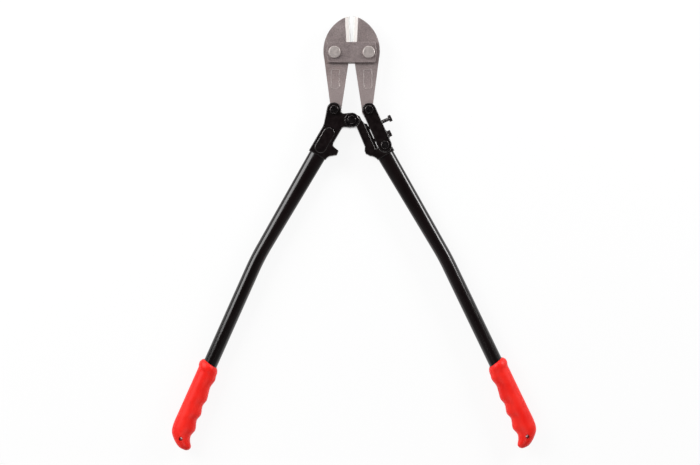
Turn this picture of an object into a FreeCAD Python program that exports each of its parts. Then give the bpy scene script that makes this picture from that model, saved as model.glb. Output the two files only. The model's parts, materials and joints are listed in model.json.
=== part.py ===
import FreeCAD, Part

import math
import os

# Bolt cutters, lying flat with the jaws towards +Y and the thickness along Z, at
# rest with the handles spread.  Sizes are in millimetres.  Every piece is first
# built about the centre pivot with z = 0 in the middle plane of the jaws, and the
# finished set is then moved so that the origin is the bottom centre of its box.
#
# Pieces that come in a left and a right form are built on the +X side, with x
# growing outward from the centre line, and mirrored for the left.

Vector = FreeCAD.Vector

# ---------------------------------------------------------------- clearances
RUNNING_FIT = 0.05          # radial play of a bolt in its bore
FACE_PLAY = 0.1             # play between the flat faces of moving pieces
FORK_PLAY = 0.2             # play each side of a tongue or a tail in its fork
SWING_GAP = 0.8             # space round a swinging boss
SCREW_HOLE_PLAY = 0.35      # radial play of the two adjusting screws in the arm

# ---------------------------------------------------------------- jaws
JAW_THICKNESS = 14.0
JAW_PIVOT_SPACING = 68.2
JAW_HALF_WIDTH = 56.3       # centre line to the round side, jaws closed
JAW_SIDE_RADIUS = 72.7
JAW_CROWN_HEIGHT = 1.0      # the widest place lies this far above the pivots
JAW_REST_ANGLE = 2.86       # each jaw stands this far open at rest, degrees
BLADE_GAP = 0.3             # between the cutting edges, jaws closed
BEVEL_WIDTH = 9.5           # ground face beside the cutting edge
EDGE_WIDTH = 3.0            # steeper last grind at the cutting edge
EDGE_THICKNESS = 6.6        # blade thickness where the last grind starts
CUTTING_LAND = 0.8          # thickness left at the very edge
BEVEL_START = 15.0          # the grind runs out this far above the pivots
HEEL_DROP = 1.0             # the straight heel ends this far below the pivots
CROTCH_DROP = 9.0           # the tails part this far below the pivots
CROTCH_HALF_GAP = 4.7
TAIL_LENGTH = 114.3         # jaw pivots to toggle bolt, along the centre line
TOGGLE_SPREAD = 6.4         # the toggle lies this far outward of the jaw pivot
TAIL_END_OUTER = 6.5        # toggle centre to the outer side of the tail
TAIL_END_INNER = 14.2       # toggle centre to the inner side of the tail
TAIL_EYE_RADIUS = 9.0       # wide eye that lets the toggle bolt wander
TAIL_EYE_WALL = 3.3
TAIL_EYE_INWARD = 2.0       # the eye is set in from the toggle's rest place
TAIL_EYE_DROP = 0.9
PANEL_LENGTH = 39.5         # raised blank frame on the front of each tail
PANEL_WIDTH = 17.5
PANEL_RIM = 1.4
PANEL_HEIGHT = 0.6
PANEL_CORNER = 4.0
PANEL_DROP = 53.0           # jaw pivots down to the middle of the frame

# ---------------------------------------------------------------- link plates
PLATE_THICKNESS = 6.0
PLATE_LENGTH = 98.8
PLATE_WIDTH = 40.8
PLATE_END_BOW = 2.2         # the short ends bow out by this much
PLATE_CHAMFER = 0.6

# ---------------------------------------------------------------- bolts and nuts
JAW_BOLT_DIAMETER = 14.0
JAW_BOLT_HEAD_DIAMETER = 24.0
JAW_BOLT_HEAD_HEIGHT = 5.0
JAW_NUT_FLATS = 21.0
JAW_NUT_HEIGHT = 7.0
JAW_WASHER_DIAMETER = 27.0
JAW_WASHER_THICKNESS = 1.5
TOGGLE_BOLT_DIAMETER = 10.0
TOGGLE_FLATS = 16.0
TOGGLE_HEAD_HEIGHT = 6.4
TOGGLE_NUT_HEIGHT = 8.0
CENTRE_BOLT_DIAMETER = 12.0
CENTRE_FLATS = 16.0
CENTRE_HEAD_HEIGHT = 6.0
CENTRE_NUT_FLATS = 18.0
CENTRE_NUT_HEIGHT = 7.0
CENTRE_WASHER_DIAMETER = 27.0
CENTRE_WASHER_THICKNESS = 1.5
SCREW_DIAMETER = 8.0        # the adjusting screw and the lock screw
SCREW_FLATS = 13.0
SCREW_HEAD_HEIGHT = 6.0
LOCK_WASHER_DIAMETER = 17.0
LOCK_WASHER_THICKNESS = 1.6
LOCK_HEAD_PLAY = 0.35       # under the lock screw's head, for the arm's swing
THREAD_RECESS = 0.3         # bolt ends stop this far inside their nuts

# ---------------------------------------------------------------- handle heads
HEAD_THICKNESS = 26.0
CENTRE_LUG_THICKNESS = 24.0
TONGUE_THICKNESS = 12.0
TOGGLE_ANGLE = 30.5         # toggles stand this far above the centre pivot, degrees
EAR_RADIUS = 14.5
LUG_RADIUS = 14.6
FORK_DEPTH = 17.5           # radius of the space for the jaw tail round a toggle
HEAD_CHAMFER = 1.0
CLOSING_ANGLE = 22.9        # each handle swings this far until the stops meet
STOP_GAP = 0.15             # stop face to centre line, handles closed
STOP_TOP = 66.4             # centre pivot to the near end of the stop face
LEFT_STOP_LENGTH = 9.7
RIGHT_STOP_LENGTH = 7.0
SHANK_OUTER = 19.2          # tube axis to the outer side of a head's shank
SHANK_INNER = 15.3
PAD_LENGTH = 54.0           # flat raised oblong on the left shank
PAD_WIDTH = 22.0
PAD_HEIGHT = 0.5

# ---------------------------------------------------------------- adjuster
ARM_HALF_WIDTH = 13.6
ARM_LENGTH = 77.0           # adjuster pin to right toggle
ARM_TILT = 24.2             # lean of the arm from the centre line, degrees
ARM_GAP = 1.6               # arm side to the shelf of the right head
ARM_SLOT_TOP = 11.8         # the arm's lower fork reaches this far above its pin
ADJUSTER_TONGUE_RADIUS = 11.0
ADJUSTER_PIN_DIAMETER = 10.0
ADJUSTER_PIN_HEAD_DIAMETER = 17.0
ADJUSTER_PIN_HEAD_HEIGHT = 3.0
SHELF_THICKNESS = 18.0
SHELF_WIDTH = 5.1
ARM_BACKBONE = 4.0          # inner side of the right head to centre line, closed
ADJUSTING_SCREW_REACH = 44.7    # adjuster pin to screw axis, along the arm
ADJUSTING_SCREW_BARE = 15.0     # bare shank between the arm and the screw head
LOCK_SCREW_REACH = 17.5
LOCK_SCREW_BITE = 11.0      # length of lock screw in the right head

# ---------------------------------------------------------------- handles
HANDLE_ANGLE = 30.2         # lean of the upper tube from the centre line, degrees
HANDLE_OFFSET = 24.0        # centre pivot to the upper tube's axis
TUBE_START = 95.0           # along the tube axis from its nearest point to the pivot
TUBE_WIDTH = 34.5           # flattened upper end, across the tool
TUBE_FLAT_THICKNESS = 22.7  # flattened upper end, along Z
TUBE_DIAMETER = 28.8
TUBE_WALL = 2.0
BEND_DISTANCE = 331.5       # along the upper axis to the corner of the bend
BEND_RADIUS = 480.0
LEFT_BEND = 6.1             # degrees towards the centre line
RIGHT_BEND = 4.5
SPIGOT_LENGTH = 42.0
SPIGOT_PLAY = 0.2
GRIP_DISTANCE = 230.0       # bend corner to the mouth of the grip
GRIP_HALF_THICKNESS = 19.5
GRIP_PLAY = 0.05
TUBE_IN_GRIP = 148.0        # mouth of the grip to the end of the tube
HANG_HOLE_DIAMETER = 8.0
HANG_HOLE_DISTANCE = 162.0  # mouth of the grip to the hole
HANG_HOLE_INWARD = 8.0


# ---------------------------------------------------------------- small helpers
def polar(centre, radius, degrees):
    """Point at a radius and an angle from a centre."""
    turn = math.radians(degrees)
    return centre + Vector(radius * math.cos(turn), radius * math.sin(turn), 0)


def turned(point, degrees, centre=Vector(0, 0, 0)):
    """Point turned anticlockwise about a centre."""
    offset = point - centre
    turn = math.radians(degrees)
    x = offset.x * math.cos(turn) - offset.y * math.sin(turn)
    y = offset.x * math.sin(turn) + offset.y * math.cos(turn)
    return centre + Vector(x, y, 0)


def flat_face(start, *steps):
    """Flat face.  A step is the next corner, or a pair: a point on an arc and its end."""
    edges = []
    here = start
    for step in steps + (start,):
        if isinstance(step, tuple):
            edges.append(Part.Arc(here, step[0], step[1]).toShape())
            here = step[1]
        elif (step - here).Length > 1e-6:
            edges.append(Part.LineSegment(here, step).toShape())
            here = step
    return Part.Face(Part.Wire(edges))


def rounded_face(*corners):
    """Flat face with straight sides.  A corner is a point and the radius that rounds it."""
    turns = []
    for k, (corner, radius) in enumerate(corners):
        before = (corners[k - 1][0] - corner).normalize()
        after = (corners[(k + 1) % len(corners)][0] - corner).normalize()
        half = before.getAngle(after) / 2
        reach = radius / math.tan(half)
        middle = corner + (before + after).normalize() * (radius / math.sin(half) - radius)
        turns.append((corner + before * reach, middle, corner + after * reach))
    edges = []
    for k, (start, middle, end) in enumerate(turns):
        if (end - start).Length > 1e-6:
            edges.append(Part.Arc(start, middle, end).toShape())
        next_start = turns[(k + 1) % len(turns)][0]
        if (next_start - end).Length > 1e-6:
            edges.append(Part.LineSegment(end, next_start).toShape())
    return Part.Face(Part.Wire(edges))


def plate(face, bottom, top):
    """A flat face made into a plate between two heights."""
    solid = face.extrude(Vector(0, 0, top - bottom))
    solid.translate(Vector(0, 0, bottom))
    return solid


def middle_plate(face, thickness):
    """A plate with its middle plane at z = 0."""
    return plate(face, -thickness / 2, thickness / 2)


def disc(centre, radius, bottom, top):
    """Upright cylinder between two heights."""
    return Part.makeCylinder(radius, top - bottom, Vector(centre.x, centre.y, bottom))


def middle_disc(centre, radius, thickness):
    """Upright cylinder with its middle plane at z = 0."""
    return disc(centre, radius, -thickness / 2, thickness / 2)


def rim_chamfered(solid, size):
    """Chamfer on the whole outline of a plate, at its top and its bottom."""
    box = solid.BoundBox
    rims = []
    for edge in solid.Edges:
        edge_box = edge.BoundBox
        flat = edge_box.ZLength < 1e-6
        if flat and min(abs(edge_box.ZMin - box.ZMin), abs(edge_box.ZMax - box.ZMax)) < 1e-6:
            rims.append(edge)
    return solid.makeChamfer(size, rims)


def hexagon_face(flats):
    """Regular hexagon about the origin with flats to +Y and -Y."""
    corners = [polar(Vector(0, 0, 0), flats / math.sqrt(3), 60 * k) for k in range(6)]
    return flat_face(*corners)


def chamfered_disc(radius, height, chamfer):
    """Disc standing on z = 0 with its upper rim chamfered."""
    profile = flat_face(Vector(0, 0, 0), Vector(radius, 0, 0), Vector(radius, 0, height - chamfer),
                        Vector(radius - chamfer, 0, height), Vector(0, 0, height))
    return profile.revolve(Vector(0, 0, 0), Vector(0, 0, 1), 360)


def hex_head(flats, height):
    """Hexagon head standing on z = 0 with its upper corners turned down."""
    corner_radius = flats / math.sqrt(3)
    turned_down = chamfered_disc(corner_radius, height, corner_radius - flats / 2 + 0.4)
    return hexagon_face(flats).extrude(Vector(0, 0, height)).common(turned_down)


def ring(outer_diameter, inner_radius, height):
    """Washer standing on z = 0."""
    solid = Part.makeCylinder(outer_diameter / 2, height)
    return solid.cut(Part.makeCylinder(inner_radius, height))


def nut(flats, bolt_diameter, height):
    """Hexagon nut standing on z = 0, bored for its bolt."""
    bore = Part.makeCylinder(bolt_diameter / 2 + RUNNING_FIT, height)
    return hex_head(flats, height).cut(bore)


def at_point(solid, point, height, turn=0.0, upside_down=False):
    """Solid that stands on z = 0, moved to a point and a height, or hung below it."""
    moved = solid.copy()
    moved.rotate(Vector(0, 0, 0), Vector(0, 0, 1), turn)
    if upside_down:
        moved.rotate(Vector(0, 0, 0), Vector(1, 0, 0), 180)
    moved.translate(Vector(point.x, point.y, height))
    return moved


def set_on_axis(solid, origin, x_direction, z_direction):
    """Solid moved so that its own x and z axes lie along two directions."""
    y_direction = z_direction.cross(x_direction)
    matrix = FreeCAD.Matrix(
        x_direction.x, y_direction.x, z_direction.x, origin.x,
        x_direction.y, y_direction.y, z_direction.y, origin.y,
        x_direction.z, y_direction.z, z_direction.z, origin.z,
        0, 0, 0, 1)
    moved = solid.copy()
    moved.Placement = FreeCAD.Placement(matrix).multiply(moved.Placement)
    return moved


def mirrored(solid):
    """The same piece for the left side."""
    return solid.mirror(Vector(0, 0, 0), Vector(1, 0, 0))


# ---------------------------------------------------------------- main points
CENTRE = Vector(0, 0, 0)
jaw_half_spacing = JAW_PIVOT_SPACING / 2
toggle_from_pivot = turned(Vector(TOGGLE_SPREAD, -TAIL_LENGTH, 0), -JAW_REST_ANGLE)
toggle_x = jaw_half_spacing + toggle_from_pivot.x
TOGGLE = Vector(toggle_x, toggle_x * math.tan(math.radians(TOGGLE_ANGLE)), 0)
JAW_PIVOT = TOGGLE - toggle_from_pivot
LINK_CENTRE = Vector(0, JAW_PIVOT.y, 0)

jaw_face = JAW_THICKNESS / 2
plate_inside = jaw_face + FACE_PLAY
plate_outside = plate_inside + PLATE_THICKNESS
head_face = HEAD_THICKNESS / 2
lug_face = CENTRE_LUG_THICKNESS / 2
fork_width = JAW_THICKNESS + 2 * FORK_PLAY
tongue_slot = TONGUE_THICKNESS + 2 * FORK_PLAY

tube_outward = polar(CENTRE, 1, HANDLE_ANGLE)
tube_along = polar(CENTRE, 1, HANDLE_ANGLE - 90)
arm_up = polar(CENTRE, 1, 90 + ARM_TILT)
arm_outward = polar(CENTRE, 1, ARM_TILT)
ARM_PIVOT = TOGGLE - arm_up * ARM_LENGTH
shelf_edge = ARM_HALF_WIDTH + ARM_GAP
backbone_edge = shelf_edge + SHELF_WIDTH


def on_tube(along, outward=0.0):
    """Point by distance along the upper tube's axis and outward from it."""
    return tube_along * along + tube_outward * (outward + HANDLE_OFFSET)


def on_arm(up, outward=0.0):
    """Point by distance up the adjuster arm from its pin and outward from its axis."""
    return ARM_PIVOT + arm_up * up + arm_outward * outward


def when_closed(x, y):
    """Point of a handle, given where it stands with the handles closed."""
    return turned(Vector(x, y, 0), CLOSING_ANGLE)


def jaw_point(x, y):
    """Point in the frame of the closed jaws, origin midway between their pivots."""
    return LINK_CENTRE + Vector(x, y, 0)


# ---------------------------------------------------------------- jaws
def jaw_plate():
    """Outline of a closed jaw: round side, straight inner side and tapered tail."""
    arc_centre = jaw_point(JAW_HALF_WIDTH - JAW_SIDE_RADIUS, JAW_CROWN_HEIGHT)
    edge_x = BLADE_GAP / 2
    tip_rise = math.sqrt(JAW_SIDE_RADIUS ** 2 - (edge_x - arc_centre.x) ** 2)
    tip = jaw_point(edge_x, JAW_CROWN_HEIGHT + tip_rise)
    shoulder = polar(arc_centre, JAW_SIDE_RADIUS, -9)
    side = polar(arc_centre, JAW_SIDE_RADIUS, 30)
    toggle_x_closed = jaw_half_spacing + TOGGLE_SPREAD
    face = flat_face(
        tip,
        (side, shoulder),
        jaw_point(toggle_x_closed + TAIL_END_OUTER, -TAIL_LENGTH),
        jaw_point(toggle_x_closed - TAIL_END_INNER, -TAIL_LENGTH),
        jaw_point(CROTCH_HALF_GAP, -CROTCH_DROP),
        (jaw_point(0.4 * CROTCH_HALF_GAP, -0.45 * CROTCH_DROP), jaw_point(edge_x, -HEEL_DROP)))
    return middle_plate(face, JAW_THICKNESS)


def blade_grind():
    """Wedges ground off both faces of a closed jaw beside its cutting edge."""
    edge_x = BLADE_GAP / 2
    length = JAW_SIDE_RADIUS
    past = jaw_face + 1
    start = JAW_PIVOT.y + BEVEL_START
    upper = flat_face(
        Vector(edge_x + BEVEL_WIDTH, start, jaw_face),
        Vector(edge_x + EDGE_WIDTH, start, EDGE_THICKNESS / 2),
        Vector(edge_x, start, CUTTING_LAND / 2),
        Vector(edge_x - 1, start, CUTTING_LAND / 2),
        Vector(edge_x - 1, start, past),
        Vector(edge_x + BEVEL_WIDTH, start, past)).extrude(Vector(0, length, 0))
    return upper.fuse(upper.mirror(Vector(0, 0, 0), Vector(0, 0, 1)))


def blank_panel():
    """Raised round-cornered frame on the front of a closed jaw's tail, left blank."""
    def rounded(length, width, corner):
        box = Part.makeBox(width, length, PANEL_HEIGHT, Vector(-width / 2, -length / 2, 0))
        uprights = [edge for edge in box.Edges if edge.BoundBox.ZLength > PANEL_HEIGHT / 2]
        return box.makeFillet(corner, uprights)

    frame = rounded(PANEL_LENGTH, PANEL_WIDTH, PANEL_CORNER)
    inside = rounded(PANEL_LENGTH - 2 * PANEL_RIM, PANEL_WIDTH - 2 * PANEL_RIM,
                     PANEL_CORNER - PANEL_RIM)
    frame = frame.cut(inside)
    return at_point(frame, jaw_point(jaw_half_spacing + 1.1, -PANEL_DROP), jaw_face, turn=3.6)


def jaw():
    """One jaw on the +X side, at its rest angle."""
    toggle_closed = jaw_point(jaw_half_spacing + TOGGLE_SPREAD, -TAIL_LENGTH)
    eye = toggle_closed - Vector(TAIL_EYE_INWARD, TAIL_EYE_DROP, 0)
    solid = jaw_plate()
    solid = solid.fuse(middle_disc(eye, TAIL_EYE_RADIUS + TAIL_EYE_WALL, JAW_THICKNESS))
    solid = solid.removeSplitter()
    solid = solid.fuse(blank_panel())
    solid = solid.cut(middle_disc(eye, TAIL_EYE_RADIUS, JAW_THICKNESS))
    bolt_hole = JAW_BOLT_DIAMETER / 2 + RUNNING_FIT
    solid = solid.cut(middle_disc(JAW_PIVOT, bolt_hole, JAW_THICKNESS))
    solid = solid.cut(blade_grind())
    solid.rotate(JAW_PIVOT, Vector(0, 0, 1), -JAW_REST_ANGLE)
    return solid


# ---------------------------------------------------------------- link plates
def link_plate(front):
    """Plate that ties the two jaw pivots together, on the front or the rear."""
    half_length = PLATE_LENGTH / 2
    half_width = PLATE_WIDTH / 2
    corner = half_length - PLATE_END_BOW
    face = flat_face(
        LINK_CENTRE + Vector(-corner, half_width, 0),
        LINK_CENTRE + Vector(corner, half_width, 0),
        (LINK_CENTRE + Vector(half_length, 0, 0), LINK_CENTRE + Vector(corner, -half_width, 0)),
        LINK_CENTRE + Vector(-corner, -half_width, 0),
        (LINK_CENTRE - Vector(half_length, 0, 0), LINK_CENTRE + Vector(-corner, half_width, 0)))
    solid = rim_chamfered(plate(face, plate_inside, plate_outside), PLATE_CHAMFER)
    for x in (-jaw_half_spacing, jaw_half_spacing):
        hole = disc(Vector(x, JAW_PIVOT.y, 0), JAW_BOLT_DIAMETER / 2 + RUNNING_FIT,
                    plate_inside, plate_outside)
        solid = solid.cut(hole)
    if front:
        return solid
    return solid.mirror(Vector(0, 0, 0), Vector(0, 0, 1))


# ---------------------------------------------------------------- bolts and nuts
def jaw_bolt():
    """Round-headed bolt through the plates and the jaw."""
    head = chamfered_disc(JAW_BOLT_HEAD_DIAMETER / 2, JAW_BOLT_HEAD_HEIGHT, 1.2)
    end = -plate_outside - JAW_WASHER_THICKNESS - JAW_NUT_HEIGHT + THREAD_RECESS
    shank = disc(JAW_PIVOT, JAW_BOLT_DIAMETER / 2, end, plate_outside)
    return at_point(head, JAW_PIVOT, plate_outside).fuse(shank)


def jaw_washer():
    """Washer between the rear plate and a jaw nut."""
    washer = ring(JAW_WASHER_DIAMETER, JAW_BOLT_DIAMETER / 2 + RUNNING_FIT, JAW_WASHER_THICKNESS)
    return at_point(washer, JAW_PIVOT, -plate_outside - JAW_WASHER_THICKNESS)


def jaw_nut():
    """Nut behind the rear plate; the tool lies on its outer face."""
    return at_point(nut(JAW_NUT_FLATS, JAW_BOLT_DIAMETER, JAW_NUT_HEIGHT), JAW_PIVOT,
                    -plate_outside - JAW_WASHER_THICKNESS, upside_down=True)


def toggle_bolt(turn):
    """Hexagon bolt through a fork and the eye of a jaw tail."""
    head = at_point(hex_head(TOGGLE_FLATS, TOGGLE_HEAD_HEIGHT), TOGGLE, head_face, turn)
    end = -head_face - TOGGLE_NUT_HEIGHT + THREAD_RECESS
    return head.fuse(disc(TOGGLE, TOGGLE_BOLT_DIAMETER / 2, end, head_face))


def toggle_nut(turn):
    """Nut behind a fork."""
    return at_point(nut(TOGGLE_FLATS, TOGGLE_BOLT_DIAMETER, TOGGLE_NUT_HEIGHT), TOGGLE,
                    -head_face, turn, upside_down=True)


def centre_bolt():
    """Bolt that both handles swing on."""
    seat = lug_face + CENTRE_WASHER_THICKNESS
    head = at_point(hex_head(CENTRE_FLATS, CENTRE_HEAD_HEIGHT), CENTRE, seat, turn=12)
    end = -seat - CENTRE_NUT_HEIGHT + THREAD_RECESS
    return head.fuse(disc(CENTRE, CENTRE_BOLT_DIAMETER / 2, end, seat))


def centre_washer(height):
    """Washer on one face of the centre lug, standing on a height."""
    washer = ring(CENTRE_WASHER_DIAMETER, CENTRE_BOLT_DIAMETER / 2 + RUNNING_FIT,
                  CENTRE_WASHER_THICKNESS)
    return at_point(washer, CENTRE, height)


def centre_nut():
    """Nut behind the centre lug."""
    return at_point(nut(CENTRE_NUT_FLATS, CENTRE_BOLT_DIAMETER, CENTRE_NUT_HEIGHT), CENTRE,
                    -lug_face - CENTRE_WASHER_THICKNESS, turn=12, upside_down=True)


# ---------------------------------------------------------------- handle heads
def spigot():
    """Oval plug of a handle head that fills the flattened end of its tube."""
    squeeze = TUBE_WALL + SPIGOT_PLAY
    slope = (TUBE_WIDTH - TUBE_DIAMETER) / 2 / (BEND_DISTANCE - TUBE_START)
    swell = (TUBE_DIAMETER - TUBE_FLAT_THICKNESS) / 2 / (BEND_DISTANCE - TUBE_START)
    rings = []
    for distance in (-2.0, SPIGOT_LENGTH):
        half_width = TUBE_WIDTH / 2 - squeeze - slope * distance
        half_height = TUBE_FLAT_THICKNESS / 2 - squeeze + swell * max(distance, 0) * 0.5
        oval = Part.Ellipse(Vector(0, 0, 0), half_width, half_height).toShape()
        oval.translate(Vector(0, 0, TUBE_START + distance))
        rings.append(Part.Wire(oval))
    plug = Part.makeLoft(rings, True, True)
    return set_on_axis(plug, tube_outward * HANDLE_OFFSET, tube_outward, tube_along)


def round_corner(centre, radius, first, last):
    """Corner that wraps a circle from one angle to another, rounded a little tighter."""
    half = math.radians((last - first) / 2)
    return polar(centre, radius / math.cos(half), (first + last) / 2), 0.93 * radius


def left_head_face():
    """Outline of the left head: toggle ear, shank, stop and centre lug."""
    stop_near = when_closed(STOP_GAP, -STOP_TOP)
    stop_far = when_closed(STOP_GAP, -STOP_TOP - LEFT_STOP_LENGTH)
    sweep = Vector(0.62 * TOGGLE.x, 0.85 * LUG_RADIUS, 0)
    return rounded_face(
        round_corner(TOGGLE, EAR_RADIUS, 93, 176),
        round_corner(TOGGLE, EAR_RADIUS, 11, 93),
        (on_tube(37, SHANK_OUTER), 40.0),
        (on_tube(TUBE_START, SHANK_OUTER), 0.0),
        (on_tube(TUBE_START, -SHANK_INNER - 3.3), 0.0),
        (on_tube(TUBE_START - 9, -SHANK_INNER - 5.0), 13.0),
        (stop_far, 1.2),
        (stop_near, 1.2),
        (on_tube(63.5, -SHANK_INNER), 8.0),
        (on_tube(21.3, -SHANK_INNER), 6.0),
        round_corner(CENTRE, LUG_RADIUS, -146, -88),
        round_corner(CENTRE, LUG_RADIUS, -210, -146),
        round_corner(CENTRE, LUG_RADIUS, -275, -210),
        (sweep, 6.0))


def left_handle_head():
    """Left head, built on the +X side: forked for the jaw tail and for the centre tongue."""
    solid = rim_chamfered(middle_plate(left_head_face(), HEAD_THICKNESS), HEAD_CHAMFER)
    for low, high in ((lug_face, head_face), (-head_face, -lug_face)):
        solid = solid.cut(disc(CENTRE, LUG_RADIUS + 0.2, low, high))
    solid = solid.cut(middle_disc(CENTRE, LUG_RADIUS + SWING_GAP, tongue_slot))
    solid = solid.cut(middle_disc(TOGGLE, FORK_DEPTH, fork_width))
    solid = solid.cut(middle_disc(CENTRE, CENTRE_BOLT_DIAMETER / 2 + RUNNING_FIT, HEAD_THICKNESS))
    solid = solid.cut(middle_disc(TOGGLE, TOGGLE_BOLT_DIAMETER / 2 + RUNNING_FIT, HEAD_THICKNESS))
    return solid.fuse(shank_pad()).fuse(spigot())


def shank_pad():
    """Raised blank oblong with round ends on the front of the left shank."""
    half_run = PAD_LENGTH / 2 - PAD_WIDTH / 2
    middle = 62.0
    half = PAD_WIDTH / 2
    face = flat_face(
        on_tube(middle - half_run, half + 2),
        on_tube(middle + half_run, half + 2),
        (on_tube(middle + half_run + half, 2), on_tube(middle + half_run, 2 - half)),
        on_tube(middle - half_run, 2 - half),
        (on_tube(middle - half_run - half, 2), on_tube(middle - half_run, half + 2)))
    return plate(face, head_face, head_face + PAD_HEIGHT)


def right_backbone_face():
    """Full-thickness outline of the right head: backbone beside the arm, stop and shank."""
    lug_space = LUG_RADIUS + SWING_GAP
    near_lug = when_closed(ARM_BACKBONE, -math.sqrt(lug_space ** 2 - ARM_BACKBONE ** 2))
    above_lug = polar(CENTRE, lug_space, 23)
    stop_near = when_closed(STOP_GAP, -STOP_TOP)
    stop_far = when_closed(STOP_GAP, -STOP_TOP - RIGHT_STOP_LENGTH)
    backbone_top = ARM_LENGTH - 19
    return flat_face(
        near_lug,
        when_closed(ARM_BACKBONE, -STOP_TOP + 8),
        stop_near,
        stop_far,
        when_closed(STOP_GAP + 3.0, -STOP_TOP - RIGHT_STOP_LENGTH - 3.0),
        on_tube(TUBE_START - 14.5, -SHANK_INNER - 13),
        (on_tube(TUBE_START - 8, -SHANK_INNER - 6.2), on_tube(TUBE_START, -SHANK_INNER - 3.3)),
        on_tube(TUBE_START, SHANK_OUTER),
        on_tube(TUBE_START - 12, SHANK_OUTER),
        on_arm(0, 0),
        on_arm(0, -backbone_edge),
        on_arm(backbone_top, -backbone_edge),
        (on_arm(backbone_top + 9, -backbone_edge + 0.3 - 3.0), above_lug),
        (polar(CENTRE, lug_space, -15), near_lug))


def right_shelf():
    """Thinner shelf of the right head that the adjusting screw bears on."""
    face = flat_face(
        on_arm(-6, -backbone_edge - 3),
        on_arm(-6, -shelf_edge),
        on_arm(ARM_LENGTH - 24, -shelf_edge),
        on_arm(ARM_LENGTH - 20, -backbone_edge),
        on_arm(ARM_LENGTH - 26, -backbone_edge - 3))
    return middle_plate(face, SHELF_THICKNESS)


def centre_tongue():
    """Tongue of the right head that lies in the left head's fork."""
    face = flat_face(
        polar(CENTRE, LUG_RADIUS - 0.5, 60),
        polar(CENTRE, LUG_RADIUS + 3.2, 26),
        on_arm(ARM_LENGTH - 18, -backbone_edge - 1),
        when_closed(ARM_BACKBONE + 8, -40),
        when_closed(ARM_BACKBONE, -40),
        when_closed(ARM_BACKBONE, 0))
    return middle_plate(face, TONGUE_THICKNESS).fuse(
        middle_disc(CENTRE, LUG_RADIUS, TONGUE_THICKNESS))


def adjuster_tongue():
    """Tongue of the right head that lies in the lower fork of the adjuster arm."""
    radius = ADJUSTER_TONGUE_RADIUS
    face = flat_face(
        on_arm(0, radius),
        on_arm(0, -radius),
        on_tube(TUBE_START - 2, -6),
        on_tube(TUBE_START - 2, 17))
    return middle_plate(face, TONGUE_THICKNESS).fuse(
        middle_disc(ARM_PIVOT, radius, TONGUE_THICKNESS))


def right_handle_head():
    """Right head: backbone, shelf, two tongues, spigot and the lock screw's hole."""
    solid = rim_chamfered(middle_plate(right_backbone_face(), HEAD_THICKNESS), HEAD_CHAMFER)
    solid = solid.cut(middle_disc(ARM_PIVOT, ARM_HALF_WIDTH + SWING_GAP, HEAD_THICKNESS))
    for addition in (right_shelf(), centre_tongue(), adjuster_tongue(), spigot()):
        solid = solid.fuse(addition)
    solid = solid.cut(middle_disc(CENTRE, CENTRE_BOLT_DIAMETER / 2 + RUNNING_FIT, HEAD_THICKNESS))
    pin_hole = ADJUSTER_PIN_DIAMETER / 2 + RUNNING_FIT
    solid = solid.cut(middle_disc(ARM_PIVOT, pin_hole, HEAD_THICKNESS))
    lock_depth = LOCK_SCREW_BITE + 1
    lock_hole = Part.makeCylinder(SCREW_DIAMETER / 2 + RUNNING_FIT, lock_depth)
    lock_mouth = on_arm(LOCK_SCREW_REACH, -shelf_edge)
    solid = solid.cut(set_on_axis(lock_hole, lock_mouth, arm_up, -arm_outward))
    return solid


# ---------------------------------------------------------------- adjuster
def adjuster_arm():
    """Arm beside the right head: forked for the jaw tail above and for the head below."""
    half = ARM_HALF_WIDTH
    face = flat_face(
        on_arm(0, half),
        on_arm(ARM_LENGTH, half),
        (on_arm(ARM_LENGTH + half, 0), on_arm(ARM_LENGTH, -half)),
        on_arm(0, -half),
        (on_arm(-half, 0), on_arm(0, half)))
    solid = rim_chamfered(middle_plate(face, HEAD_THICKNESS), HEAD_CHAMFER)
    solid = solid.cut(middle_disc(TOGGLE, FORK_DEPTH, fork_width))
    past = half + 2
    lower_fork = flat_face(on_arm(ARM_SLOT_TOP, past), on_arm(ARM_SLOT_TOP, -past),
                           on_arm(-past, -past), on_arm(-past, past))
    solid = solid.cut(middle_plate(lower_fork, tongue_slot))
    solid = solid.cut(middle_disc(TOGGLE, TOGGLE_BOLT_DIAMETER / 2 + RUNNING_FIT, HEAD_THICKNESS))
    pin_hole = ADJUSTER_PIN_DIAMETER / 2 + RUNNING_FIT
    solid = solid.cut(middle_disc(ARM_PIVOT, pin_hole, HEAD_THICKNESS))
    for reach in (ADJUSTING_SCREW_REACH, LOCK_SCREW_REACH):
        hole = Part.makeCylinder(SCREW_DIAMETER / 2 + SCREW_HOLE_PLAY, 2 * past)
        solid = solid.cut(set_on_axis(hole, on_arm(reach, past), arm_up, -arm_outward))
    return solid


def side_screw(reach, seat, tip):
    """Screw across the arm: its head sits outward of the seat, its tip points inward."""
    head = hex_head(SCREW_FLATS, SCREW_HEAD_HEIGHT)
    shank = Part.makeCylinder(SCREW_DIAMETER / 2, seat - tip, Vector(0, 0, tip - seat))
    return set_on_axis(head.fuse(shank), on_arm(reach, seat), arm_up, arm_outward)


def adjusting_screw():
    """Screw whose tip bears on the shelf of the right head and holds the arm out."""
    return side_screw(ADJUSTING_SCREW_REACH, ARM_HALF_WIDTH + ADJUSTING_SCREW_BARE,
                      -shelf_edge + FACE_PLAY)


def lock_screw():
    """Screw that pulls the arm back against the adjusting screw."""
    seat = ARM_HALF_WIDTH + FACE_PLAY + LOCK_WASHER_THICKNESS + LOCK_HEAD_PLAY
    return side_screw(LOCK_SCREW_REACH, seat, -shelf_edge - LOCK_SCREW_BITE)


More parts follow.
